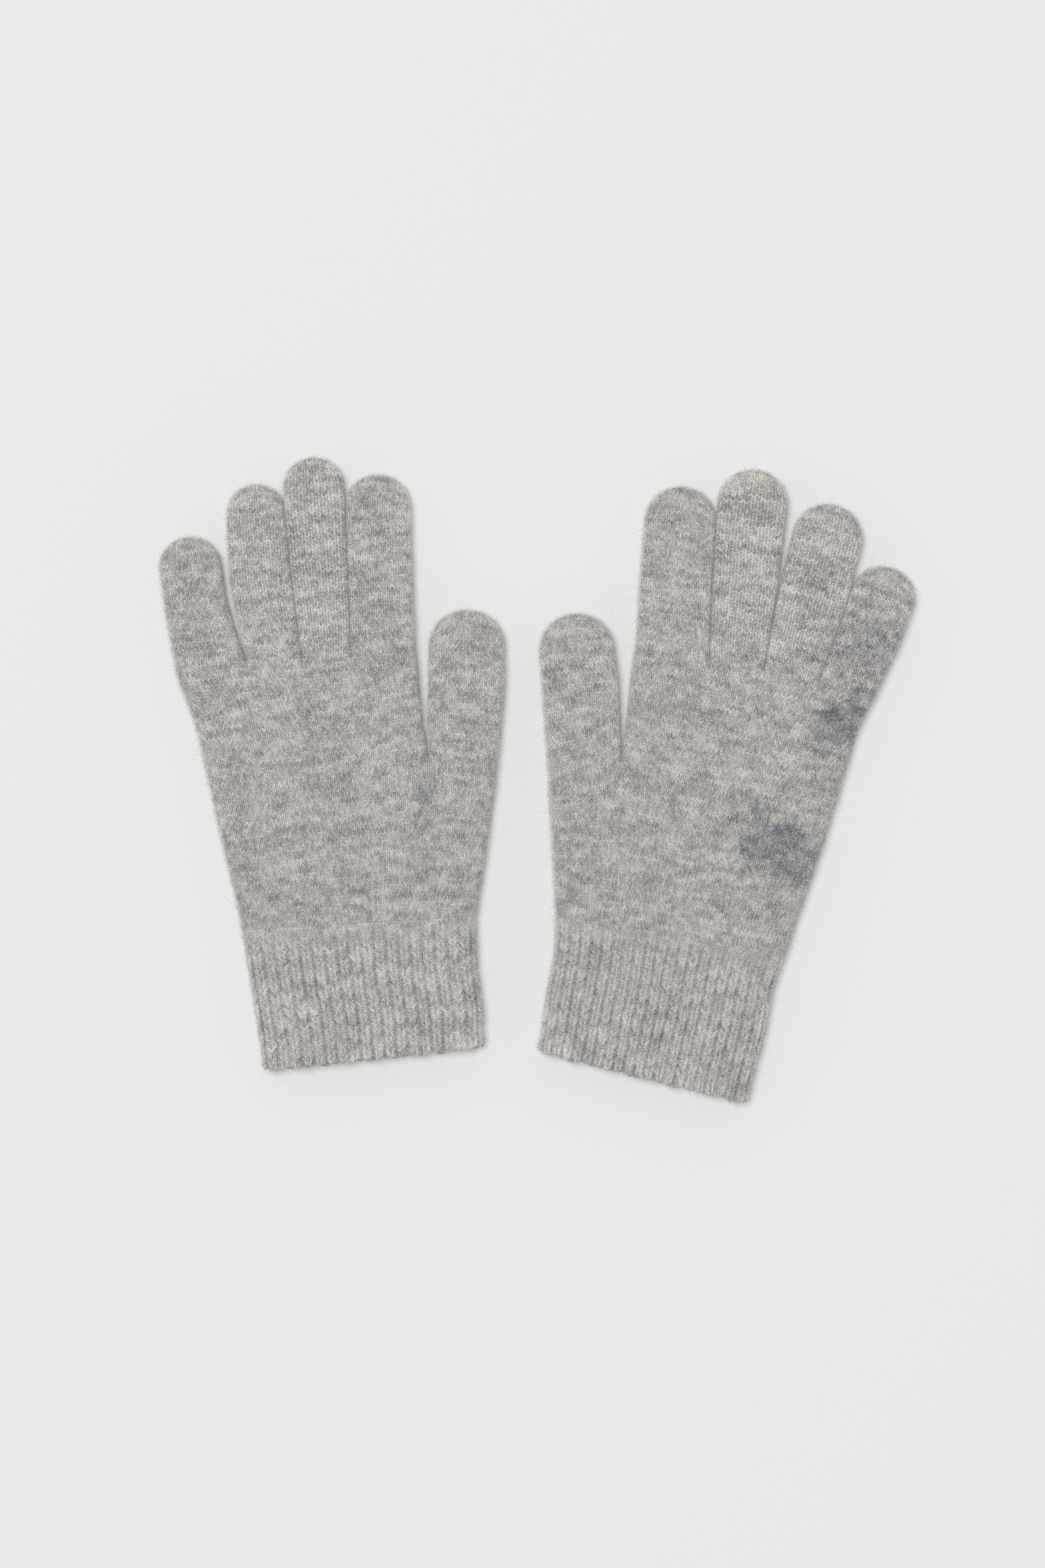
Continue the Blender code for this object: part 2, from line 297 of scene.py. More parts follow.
def make_edges(lines):
    """A function that gives each point's distance to the nearest of the outline's lines, and how
    closely a neighbour touches that line there."""
    here = np.concatenate([points for points, touch in lines])
    touches = np.concatenate([touch for points, touch in lines])
    before = np.concatenate([np.vstack([p[:1], p[:-1]]) for p, touch in lines])
    after = np.concatenate([np.vstack([p[1:], p[-1:]]) for p, touch in lines])
    tree = KDTree(len(here))
    for i, point in enumerate(here):
        tree.insert((point[0], point[1], 0), i)
    tree.balance()

    def to_segment(points, a, b):
        along = b - a
        t = ((points - a) * along).sum(1) / np.maximum((along**2).sum(1), 1e-18)
        return np.linalg.norm(points - a - np.clip(t, 0, 1)[:, None] * along, axis=1)

    def edges(xy):
        points = xy.reshape(-1, 2)
        near = [tree.find((x, y, 0))[1] for x, y in points.tolist()]
        a, b, c = before[near], here[near], after[near]
        found = np.minimum(to_segment(points, a, b), to_segment(points, b, c))
        return found.reshape(xy.shape[:2]), touches[near].reshape(xy.shape[:2])

    return edges


ROUND, SQUARE = 2.4, 3.2  # exponents of a free edge's section, and of one against its neighbour
SAME_PLACE = 0.0005 * MM  # points nearer than this are one


def rounded(distance, touch=0.0, radius=EDGE_RADIUS):
    """Share of the full height at a distance in from the edge."""
    power = mix(ROUND, SQUARE, touch)
    t = np.clip(distance / radius, 0, 1)
    return (1 - (1 - t) ** power) ** (1 / power)


def closed_ring(xy, share, inset=0.0):
    """Upper face and underside of a flat tube as one ring of points to each row. share is the
    height's share of the full one, and inset is how far inside the faces the ring lies."""
    height = share * (HALF_HEIGHT + ripple(xy) - inset)
    upper = np.dstack([xy, MIDDLE_HEIGHT + height])
    under = np.dstack([xy, MIDDLE_HEIGHT - height])
    return np.concatenate([upper, under[:, -2:0:-1]], axis=1)


def outward_normals(ring):
    """Unit normals of a grid of points whose columns close into a ring."""
    along = np.gradient(ring, axis=0)
    round_it = np.roll(ring, -1, axis=1) - np.roll(ring, 1, axis=1)
    normal = np.cross(round_it, along)
    return normal / np.maximum(np.linalg.norm(normal, axis=2, keepdims=True), 1e-12)


def raised(ring, relief):
    """The ring's points, moved outwards by the relief."""
    return ring + outward_normals(ring) * relief[..., None]


def grid_faces(rows, columns, start):
    """The four corners of each face of a grid whose columns close into a ring."""
    row, column = np.meshgrid(np.arange(rows - 1), np.arange(columns), indexing="ij")
    following = (column + 1) % columns
    a, b = row * columns + column, row * columns + following
    return np.stack([a, b, b + columns, a + columns], axis=-1).reshape(-1, 4) + start


def join_equal_points(mesh):
    work = bmesh.new()
    work.from_mesh(mesh)
    bmesh.ops.remove_doubles(work, verts=work.verts, dist=SAME_PLACE)
    work.to_mesh(mesh)
    work.free()


def add_object(name, data):
    added = bpy.data.objects.new(name, data)
    bpy.context.scene.collection.objects.link(added)
    return added


def make_mesh(name, grids, material, weld=False):
    """One object from (points, wale and course of each point, fuzz of each point) grids."""
    points, knit, fuzz, faces = [], [], [], []
    for ring, places, hairy in grids:
        faces.append(grid_faces(*ring.shape[:2], start=sum(len(p) for p in points)))
        points.append(ring.reshape(-1, 3))
        knit.append(places.reshape(-1, 3))
        fuzz.append(np.broadcast_to(hairy, ring.shape[:2]).ravel())
    points, faces = np.concatenate(points), np.concatenate(faces)
    mesh = bpy.data.meshes.new(name)
    mesh.vertices.add(len(points))
    mesh.vertices.foreach_set("co", points.astype(np.float32).ravel())
    mesh.loops.add(faces.size)
    mesh.loops.foreach_set("vertex_index", faces.astype(np.int32).ravel())
    mesh.polygons.add(len(faces))
    mesh.polygons.foreach_set("loop_start", np.arange(0, faces.size, 4, dtype=np.int32))
    mesh.update(calc_edges=True)
    for label, kind, field, parts in (
        ("knit", "FLOAT_VECTOR", "vector", knit),
        ("fuzz", "FLOAT", "value", fuzz),
    ):
        values = np.concatenate(parts).astype(np.float32).ravel()
        mesh.attributes.new(label, kind, "POINT").data.foreach_set(field, values)
    mesh.validate()
    if weld:
        join_equal_points(mesh)
    mesh.shade_smooth()
    mesh.materials.append(material)
    return add_object(name, mesh)


def knit_places(wales, courses, count, seed):
    """Wale, course and glove number of each point of a ring with so many wales to a face."""
    round_it = np.concatenate([wales, 2 * count - wales[-2:0:-1]])
    wale, course = np.meshgrid(round_it, courses)
    return np.stack([wale, course, np.full(wale.shape, float(seed))], axis=-1)


EDGE_FUZZ = 1.3  # density of the fuzz at the outline, in that of the faces
FUZZ_STEEPNESS = 1.4  # how soon it gets there as the tube thins out
CLOSED_SHARE = 0.35  # a tube's side is closed where it is thinner than this share of the height


def fuzziness(share):
    """Density of the fuzz on the ring: 1 on the faces, more towards the outline."""
    dense = 1 + (EDGE_FUZZ - 1) * ease(FUZZ_STEEPNESS * (1 - share))
    return np.concatenate([dense, dense[:, -2:0:-1]], axis=1)


def knitted(xy, wales, courses, glove):
    """A flat tube of plain stitches over a grid of places: (points, knit places, fuzz)."""
    share = rounded(*glove.edges(xy))
    sides = share[:, [0, -1]]
    share[:, [0, -1]] = np.where(sides < CLOSED_SHARE, 0, sides)
    ring = closed_ring(xy, share)
    places = knit_places(wales, courses, glove.wales, glove.seed)
    return raised(ring, plain_stitch(places[..., 0], places[..., 1])), places, fuzziness(share)


# ---- the gloves' places


COURSE_TILT = math.radians(2.5)  # extra slope of the courses across the middle of the palm


def rotated(vector, angle):
    c, s = math.cos(angle), math.sin(angle)
    return np.array([c * vector[0] - s * vector[1], s * vector[0] + c * vector[1]])


def count_of(length, size):
    return int(round(length / size))


def row_points(ends, counts, columns=COLUMNS, left=1.0, right=1.0):
    """Points along the polyline of ends, with so many stitches in each of its stretches. The
    row's two outer edges are rounded by left and right."""
    points = [np.array([ends[0]])]
    last = len(counts) - 1
    for i, (start, end, count) in enumerate(zip(ends, ends[1:], counts)):
        fraction = np.linspace(0, 1, count * columns + 1)
        rounding = (left if i == 0 else 0.0, right if i == last else 0.0)
        place = turned(fraction, np.linalg.norm(end - start), *rounding)
        points.append(mix(start, end, place[1:, None]))
    return np.concatenate(points)


def stretch_rows(first, last, left, right):
    """A grid between two rows, whose sides follow the left and right lines."""
    t = np.linspace(0, 1, len(left))[:, None, None]
    s = np.linspace(0, 1, len(first))[None, :, None]
    grid = mix(first[None], last[None], t)
    left_shift, right_shift = left[:, None] - grid[:, :1], right[:, None] - grid[:, -1:]
    return grid + left_shift * (1 - s) + right_shift * s


def two_sides(glove, tree, below, above, rightwards, courses, neighbours=None):
    """The left and right lines from the ends of one row to those of another so many courses up.
    They also become edges of the glove."""
    rows = courses * ROWS + 1
    left = side_line(tree, below[0], above[0], -rightwards, rows, neighbours)
    right = side_line(tree, below[-1], above[-1], rightwards, rows, neighbours)
    glove.lines += [left, right]
    return left[0], right[0]


def read_glove(side):
    """Joints, edges and wale counts of one glove, all from the frame, from left to right."""
    thumb_right = side == "left_"
    order = FINGERS if thumb_right else FINGERS[::-1]
    roots = [end_edge(f"{side}{n}_base", joint(f"{side}{n}_knuckle_fold")) for n in order]
    knuckles = [roots[0][0]] + [(a[1] + b[0]) / 2 for a, b in zip(roots, roots[1:])]
    knuckles.append(roots[-1][1])
    thumb = end_edge(side + "thumb_base", joint(side + "thumb_root_fold"))
    crotch, thumb_end = thumb if thumb_right else thumb[::-1]
    palm = solid(side + "palm")
    slope = unit(knuckles[-1] - knuckles[0])
    slope = rotated(slope, COURSE_TILT * np.sign(slope[1]))
    outward = -slope if thumb_right else slope
    heel = crotch + outward * edge_offset(palm, crotch, outward)
    rounding = EDGE_ARC - EDGE_RADIUS
    palm_wales = count_of(np.linalg.norm(heel - crotch) + rounding, WALE)
    thumb_wales = count_of(np.linalg.norm(thumb_end - crotch) + rounding, WALE)
    widths = np.array([np.linalg.norm(b - a) for a, b in zip(knuckles, knuckles[1:])])
    widths[[0, -1]] += rounding
    shares = np.round(palm_wales * np.cumsum(widths) / widths.sum()).astype(int)
    wrist = joint(side + "wrist_fold")
    return SimpleNamespace(
        side=side,
        seed=SIDES.index(side),
        thumb_right=thumb_right,
        order=order,
        knuckles=knuckles,
        corners=[heel, crotch, thumb_end],
        palm=palm,
        wrist=end_edge(side + "cuff", wrist),
        mouth=end_edge(side + "cuff_hem", wrist, far=True),
        palm_wales=palm_wales,
        thumb_wales=thumb_wales,
        finger_wales=np.diff([0, *shares]),
        wales=palm_wales + thumb_wales,
        lines=[],
        digits={n: solid(f"{side}{n}_base", f"{side}{n}_tip") for n in (*FINGERS, "thumb")},
    )


def numbered(first, count, steps):
    """The wales or courses from the first on, with so many steps to each."""
    return np.linspace(first, first + count, count * steps + 1)


def plan_palm(glove):
    """Places of the palm's stitches: below the thumb's crotch, and above it."""
    wrist, knuckles = glove.wrist, glove.knuckles
    ends, counts = glove.corners, [glove.palm_wales, glove.thumb_wales]
    upper_ends, rounding, glove.first_wale = ends[:2], (1.0, 0.0), 0
    if not glove.thumb_right:
        ends, counts, upper_ends, rounding = ends[::-1], counts[::-1], upper_ends[::-1], (0.0, 1.0)
        glove.first_wale = glove.thumb_wales
    height = (np.linalg.norm(ends[0] - wrist[0]) + np.linalg.norm(ends[-1] - wrist[1])) / 2
    courses, rightwards = count_of(height, COURSE), unit(wrist[1] - wrist[0])
    sides = two_sides(glove, glove.palm, wrist, ends, rightwards, courses)
    lower = stretch_rows(row_points(wrist, [glove.wales]), row_points(ends, counts), *sides)
    glove.crotch_course = courses
    height = np.linalg.norm((knuckles[0] + knuckles[-1] - upper_ends[0] - upper_ends[1]) / 2)
    courses, rightwards = count_of(height, COURSE), unit(knuckles[-1] - knuckles[0])
    thumb = glove.digits["thumb"]
    sides = two_sides(glove, glove.palm, upper_ends, knuckles, rightwards, courses, thumb)
    first = row_points(upper_ends, [glove.palm_wales], COLUMNS, *rounding)
    upper = stretch_rows(first, row_points(knuckles, glove.finger_wales), *sides)
    glove.knuckle_course = glove.crotch_course + courses
    return lower, upper


TIP_FADE = 4 * MM  # neighbours part over this length below the round tip of a digit
ROOT_BLEND = 9 * MM  # the palm's spacing of stitches turns into the digit's over this length


def middle_line(start, root_way, middle, heading):
    """A digit's middle line, straight to its middle fold and on along its tip, and the direction
    across it: two functions of the distance from the root."""
    low = np.linalg.norm(middle - start)

    def centre(v):
        v = np.asarray(v, float)[..., None]
        return np.where(v < low, mix(start, middle, v / low), middle + heading * (v - low))

    def way(v):
        turn = ease(np.asarray(v, float) / low)[..., None]
        between = mix(root_way, across(heading), turn)
        return between / np.linalg.norm(between, axis=-1, keepdims=True)

    return centre, way


def digit_sides(glove, name, stations, line, low, root_reach):
    """How far a digit's two edges lie from its middle line at the stations, and how closely its
    neighbours touch them."""
    tree, others = glove.digits[name], [glove.side + n for n in glove.digits if n != name]
    neighbours = solid(*(f"{digit}_{part}" for digit in others for part in ("base", "tip")))
    places, ways = (function(stations) for function in line)
    near_fold = np.minimum(np.abs(stations - low), stations) < FOLD_CLEARANCE
    offsets, touches = [], []
    for sign in (-1, 1):
        read = read_edge(tree, neighbours, places, ways * sign)
        reach, touch = (np.where(near_fold, np.nan, values) for values in read)
        reach[0] = root_reach
        offsets.append(sign * smooth(reach, 3))
        touches.append(smooth(touch, 3) * ease((stations[-1] - stations) / TIP_FADE))
    return offsets, touches


def round_tip(base, heading, cap, ends, t, fraction):
    """The rows that close a digit's tip: a square of rows and columns drawn out to a disc. ends
    are the sides' distances from the base, and t goes from 0 there to 1 at the tip."""
    left, right = ends
    u = (2 * fraction - 1)[None]
    sideways = (right + left) / 2 + (right - left) / 2 * u * np.sqrt(1 - t**2 / 2)
    upwards = cap * t * np.sqrt(1 - u**2 / 2)
    return base + sideways[..., None] * across(heading) + upwards[..., None] * heading


def plan_digit(glove, name, palm_row, first, last, palm_wale, course):
    """Places of the stitches of a finger or thumb, whose first row is a stretch of the palm's,
    from its first to its last wale."""
    first_row = palm_row[first * COLUMNS : last * COLUMNS + 1]
    middle = joint(f"{glove.side}{name}_middle_fold")
    tip = frame["nodes"][f"{glove.side}{name}_tip"].data.vertices
    heading = unit(np.mean([flat(v.co) for v in tip], axis=0) - middle)
    left, right = first_row[[0, -1]]
    start, root_way = (left + right) / 2, unit(right - left)
    line = centre, way = middle_line(start, root_way, middle, heading)
    tree = glove.digits[name]
    low = np.linalg.norm(middle - start)
    length = low + edge_offset(tree, middle, heading) + EDGE_SPREAD
    here, there = (function((low + length) / 2) for function in line)
    width = edge_offset(tree, here, there) + edge_offset(tree, here, -there)
    cap, pad = width / 2, length - width / 2
    stations = np.linspace(0, pad, DIGIT_READINGS)
    root_reach = np.linalg.norm(right - left) / 2
    offsets, touches = digit_sides(glove, name, stations, line, low, root_reach)
    courses = count_of(length, COURSE)
    v = np.linspace(0, length, courses * ROWS + 1)
    body = v[v < pad]
    a, b = (np.interp(body, stations, offset)[:, None] for offset in offsets)
    even = turned(np.linspace(0, 1, len(first_row)), width, edge_arc=DIGIT_ARC)
    begun = ((first_row - start) @ root_way - a[0]) / (b[0] - a[0])
    share = mix(begun, even, ease(body / ROOT_BLEND)[:, None])
    straight = centre(body)[:, None] + way(body)[:, None] * mix(a, b, share)[..., None]
    t = ((v[v >= pad] - pad) / cap)[:, None]
    ends = offsets[0][-1], offsets[1][-1]
    grid = np.concatenate([straight, round_tip(centre(pad), heading, cap, ends, t, even)])
    grid[0] = first_row
    for column, touch in zip((0, -1), touches):
        glove.lines.append((grid[:, column], np.interp(v, stations, touch)))
    glove.lines.append((grid[-1], np.zeros(len(first_row))))
    return SimpleNamespace(
        name=name,
        grid=grid,
        first=first,
        wales=numbered(palm_wale + first, last - first, COLUMNS),
        courses=numbered(course, courses, ROWS),
        start=start,
        root_way=root_way,
        middle=middle,
        heading=heading,
        low=low,
        length=length,
    )


def plan_cuff(glove):
    """Places of the rib's stitches, from the hem up to the wrist."""
    side, wrist, mouth = glove.side, glove.wrist, glove.mouth
    hem = end_edge(side + "cuff_hem", joint(side + "wrist_fold"))
    rightwards = unit(wrist[1] - wrist[0])
    courses = count_of(np.linalg.norm((hem[0] + hem[1] - wrist[0] - wrist[1]) / 2), COURSE)
    sides = two_sides(glove, solid(side + "cuff"), hem, wrist, rightwards, courses)
    first, last = (row_points(ends, [RIBS[side]], RIB_COLUMNS) for ends in (hem, wrist))
    grid = stretch_rows(first, last, *sides)
    glove.hem_length = np.linalg.norm((mouth[0] + mouth[1] - hem[0] - hem[1]) / 2)
    return grid, courses


# ---- the gloves' pieces


def join_rows(below, above, shift):
    """Gives the first row of the ring above the points of the last row of the ring below, so that
    the two meet exactly. shift is its first column, counted on the upper face below."""
    n, m = below.shape[1] // 2, above.shape[1] // 2
    column = np.arange(m + 1)
    above[0, column] = below[-1, column + shift]
    under = column[1:-1]
    above[0, 2 * m - under] = below[-1, (2 * n - under - shift) % (2 * n)]


def knit_glove(side, wool, rib, thread):
    """Builds one glove's pieces, and fastens the palm and the hem to their bodies."""
    glove = read_glove(side)
    lower_xy, upper_xy = plan_palm(glove)
    first, crotch, knuckle = glove.first_wale, glove.crotch_course, glove.knuckle_course
    edges = np.cumsum([0, *glove.finger_wales])
    digits = [
        plan_digit(glove, name, upper_xy[-1], start, end, first, knuckle)
        for name, start, end in zip(glove.order, edges, edges[1:])
    ]
    start = glove.palm_wales if glove.thumb_right else 0
    end = start + glove.thumb_wales
    digits.append(plan_digit(glove, "thumb", lower_xy[-1], start, end, 0, crotch))
    cuff_xy, cuff_courses = plan_cuff(glove)
    glove.edges = make_edges(glove.lines)

    wales, courses = numbered(0, glove.wales, COLUMNS), numbered(0, crotch, ROWS)
    lower = knitted(lower_xy, wales, courses, glove)
    wales = numbered(first, glove.palm_wales, COLUMNS)
    upper = knitted(upper_xy, wales, numbered(crotch, knuckle - crotch, ROWS), glove)
    join_rows(lower[0], upper[0], first * COLUMNS)
    palm = make_mesh(side + "palm_knit", [lower, upper], wool, weld=True)
    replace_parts(palm, side + "palm")
    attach(palm, side + "palm")

    for digit in digits:
        knit_digit(glove, digit, lower[0] if digit.name == "thumb" else upper[0], wool)
    knit_cuff(glove, cuff_xy, cuff_courses, rib, thread)


BASE_SHARE = 0.55  # a digit's first piece ends at this share of the way to its middle fold


def knit_digit(glove, digit, palm_ring, material):
    """A finger or thumb in two pieces, which part between its two folds."""
    name = glove.side + digit.name
    start, middle, low = digit.start, digit.middle, digit.low
    tube = knitted(digit.grid, digit.wales, digit.courses, glove)
    join_rows(palm_ring, tube[0], digit.first * COLUMNS)
    split = int(round(BASE_SHARE * low / digit.length * (len(digit.grid) - 1)))
    base = make_mesh(name + "_base_knit", [[part[: split + 1] for part in tube]], material)
    tip = make_mesh(name + "_tip_knit", [[part[split:] for part in tube]], material)
    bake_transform(base)
    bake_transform(tip)
    for piece, node in ((base, name + "_base"), (tip, name + "_tip")):
        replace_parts(piece, node)


LIP_ROWS = 14  # mesh rows round the hem's lip
LINING_DEPTH = 0.9  # share of the cuff's length that its inner face is drawn for
LINING_RELIEF = 0.6
INNER_RADIUS = 1.2 * MM
HEM_FUZZ = 2.0
UPPER_HEM, UNDER_HEM = 1.0, 1.12  # the lower layer's hem shows past the upper one's
MOUTH_CORNER = 3.5 * MM  # the mouth's two corners are rounded this far in
CORNER_HEM = 0.3  # share of the hem's length that is left at a corner
HEM_WAVES = ((0.10, 2 * math.pi, 0), (0.11, 1.9, 0), (0.09, 3.1, 2))  # size, rate and start
HEM_SWELL = 0.35  # how much fatter than the cuff the lip is
THREADS, THREAD_SLANT, THREAD_RELIEF = 4, 1.5, 0.22 * MM  # threads to a rib, laid over the lip
LIP_COURSES = 0.8  # courses to each radian round the lip


def knit_cuff(glove, xy, courses, rib, thread):
    """The ribbed cuff with its inner face, and the overlocked hem round its mouth."""
    side, wrist, ribs = glove.side, glove.wrist, RIBS[glove.side]
    share = rounded(*glove.edges(xy))
    share[:, [0, -1]] = 0
    ring = closed_ring(xy, share)
    upwards = numbered(-courses, courses, ROWS)
    places = knit_places(numbered(0, ribs, RIB_COLUMNS), upwards, ribs, glove.seed)
    rib_number, course = places[..., 0], places[..., 1]
    ribbed = ease(-course * COURSE / RIB_START)
    plain = plain_stitch(rib_number * RIB_WALES, course)
    outer = raised(ring, mix(plain, rib_stitch(rib_number, course), ribbed))

    inset = unit(xy[0, -1] - xy[0, 0]) * KNIT_THICKNESS
    width = np.linalg.norm(xy[0, -1] - xy[0, 0]) - 2 * KNIT_THICKNESS
    place = turned(np.linspace(0, 1, xy.shape[1]), width)
    inner_xy = mix(xy[:, :1] + inset, xy[:, -1:] - inset, place[None, :, None])
    depth = np.minimum(place, 1 - place) * width
    inner = closed_ring(inner_xy, rounded(depth, radius=INNER_RADIUS), KNIT_THICKNESS)
    inner = raised(inner, -LINING_RELIEF * rib_stitch(rib_number + 0.5, course))
    kept = int(len(xy) * LINING_DEPTH)
    lining = (inner[:kept][::-1], places[:kept][::-1], 0.0)
    cuff = make_mesh(side + "cuff_knit", [(outer, places, fuzziness(share)), lining], rib)
    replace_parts(cuff, side + "cuff")
    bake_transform(cuff)

    hem = make_mesh(side + "hem_knit", [hem_lip(glove, outer[0], inner[0], places[0])], thread)
    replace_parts(hem, side + "cuff_hem")
    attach(hem, side + "cuff")


def hem_lip(glove, outer, inner, places):
    """Rows that turn from the cuff's outer face round its edge to its inner face."""
    mouth, wrist = glove.mouth, glove.wrist
    outward = np.array([*unit((mouth[0] + mouth[1]) - (wrist[0] + wrist[1])), 0])
    turn = np.linspace(0, math.pi, LIP_ROWS)[::-1, None, None]
    middle, half = (outer + inner) / 2, (outer - inner) / 2
    ribs = places[:, 0]
    wave = sum(size * np.sin(rate * ribs + start) for size, rate, start in HEM_WAVES)
    count = RIBS[glove.side]
    under = ribs > count
    ends = outer[[0, count * RIB_COLUMNS], :2]
    inwards = np.linalg.norm(outer[:, None, :2] - ends[None], axis=2).min(axis=1)
    corner = rounded(inwards, radius=MOUTH_CORNER)
    length = glove.hem_length * (wave + np.where(under, UNDER_HEM, UPPER_HEM))
    length = (length * mix(CORNER_HEM, 1.0, corner))[None, :, None]
    swell = 1 + HEM_SWELL * np.sin(turn) ** 2
    ring = middle + half * np.cos(turn) * swell + outward * length * np.sin(turn) ** 0.8
    turn = turn[..., 0]
    thread = np.abs(np.sin(math.pi * THREADS * ribs[None] + THREAD_SLANT * turn))
    relief = THREAD_RELIEF * thread * np.sin(turn)
    placed = np.broadcast_to(places[None], (len(ring), *places.shape)).copy()
    placed[..., 1] -= turn * LIP_COURSES
    return raised(ring, relief), placed, HEM_FUZZ


# ---- materials


class Nodes:
    """Short ways to add and join the nodes of a tree."""

    def __init__(self, tree):
        self.tree = tree

    def add(self, kind, inputs=None, **settings):
        node = self.tree.nodes.new(kind)
        for name, value in settings.items():
            setattr(node, name, value)
        for name, value in (inputs or {}).items():
            self.feed(node.inputs[name], value)
        return node

    def feed(self, socket, value):
        """Sets the socket's value, or links it to another socket or a node's first output."""
        if isinstance(value, bpy.types.Node):
            value = value.outputs[0]
        if isinstance(value, bpy.types.NodeSocket):
            self.tree.links.new(value, socket)
        else:
            socket.default_value = value

    def calc(self, operation, *values):
        node = self.add("ShaderNodeMath", operation=operation)
        for socket, value in zip(node.inputs, values):
            self.feed(socket, value)
        return node

    plus = partialmethod(calc, "ADD")
    minus = partialmethod(calc, "SUBTRACT")
    times = partialmethod(calc, "MULTIPLY")
    over = partialmethod(calc, "DIVIDE")
    times_plus = partialmethod(calc, "MULTIPLY_ADD")

    def vector(self, x=0.0, y=0.0, z=0.0):
        return self.add("ShaderNodeCombineXYZ", {"X": x, "Y": y, "Z": z})

    def noise(self, place, detail=2.0, roughness=0.5):
        """Noise spread evenly around 0, from about -1 to 1."""
        inputs = {"Vector": place, "Scale": 1.0, "Detail": detail, "Roughness": roughness}
        node = self.add("ShaderNodeTexNoise", inputs)
        return self.times(self.minus(node, 0.5), 4.0)

    def chance(self, place):
        """A random number from -1 to 1 for each whole-numbered place."""
        node = self.add("ShaderNodeTexWhiteNoise", {"Vector": place})
        return self.minus(self.times(node.outputs["Value"], 2.0), 1.0)

    def mixed(self, factor, first, second):
        node = self.add("ShaderNodeMix", data_type="RGBA")
        sockets = [s for s in node.inputs if s.enabled]
        for socket, value in zip(sockets, (factor, first, second)):
            self.feed(socket, value)
        return next(s for s in node.outputs if s.enabled)

    def clamped(self, value, top=1.0):
        return self.calc("MINIMUM", self.calc("MAXIMUM", value, 0.0), top)

    def between(self, first, second, share):
        return self.times_plus(self.minus(second, first), share, first)

    def total(self, *weighted):
        """Sum of (value, weight) pairs."""
        result = 0.0
        for value, weight in weighted:
            result = self.times_plus(value, weight, result)
        return result


def new_material(name):
    """A material without nodes, and the way to add them."""
    material = bpy.data.materials.new(name)
    material.use_nodes = True
    material.node_tree.nodes.clear()
    return material, Nodes(material.node_tree)


def add_surface(n, inputs):
    shader = n.add("ShaderNodeBsdfPrincipled", inputs)
    n.add("ShaderNodeOutputMaterial", {"Surface": shader})


def add_ramp(n, factor, first, middle, middle_colour, last):
    """Colours from the first to the last, by way of another one at the place middle."""
    ramp = n.add("ShaderNodeValToRGB", {"Fac": factor})
    ramp.color_ramp.elements[0].color = first
    ramp.color_ramp.elements[1].color = last
    ramp.color_ramp.elements.new(middle).color = middle_colour
    return ramp


def colour(red, green, blue):
    """A screen colour from 0 to 255 as the shader's linear colour."""

    def linear(value):
        value /= 255
        return value / 12.92 if value <= 0.04045 else ((value + 0.055) / 1.055) ** 2.4

    return (linear(red), linear(green), linear(blue), 1.0)


DARK_WOOL = colour(99, 98, 107)
MIDDLE_WOOL = colour(174, 172, 170)
PALE_WOOL = colour(235, 229, 218)
PINK_WOOL = colour(196, 150, 142)
DARK_FIBRE = colour(112, 112, 116)
MIDDLE_FIBRE = colour(205, 203, 200)
PALE_FIBRE = colour(248, 245, 240)
WALE_MM, COURSE_MM = WALE / MM, COURSE / MM
RIB_MM = 4.4  # width of one rib
STRANDS = 2.8  # how fine the fibres are along a leg of a stitch
TONE_MIDDLE = 0.37  # place of tone 0 between the dark wool and the pale
RIB_PALER = 0.17  # how much higher the rib's tone is than the plain knit's
EDGE_HIGHLIGHT = 0.35  # and an outline's than a face's: painted highlight, standing in for the light its fuzz catches
# Weights in the tone of a leg's own shade of yarn, of its fibres and of its height, for each knit.
# The height's weight is painted shade: darker in the valleys between the legs than on their tops.
PLAIN_WEIGHTS, RIB_WEIGHTS = (0.30, 0.9, 0.80), (0.18, 1.15, 0.60)
# Blotches of yarn: width and height in mm, offset in the noise, and weight in the tone
BLOTCHES = ((19.0, 9.0, 3.0, 0.24), (8.0, 3.0, 0.0, 0.45), (3.0, 1.9, 11.0, 0.24))
LOOSE_WIDTH, LOOSE_HEIGHT, LOOSE_WEIGHT = 0.5, 0.34, 0.60  # fibres that lie over the stitches
# Patches of darker yarn on the right glove: the wale and course of each one's middle, its size
# in wales and courses, and how much darker it is
DARK_PATCHES = (
    (62, 27, 11, 10, 0.45),
    (54, 31, 11, 8, 0.22),
    (66, 62, 6.5, 10, 0.38),
    (67, 70, 6, 8, 0.27),
    (66, 88, 12, 14, 0.22),
)


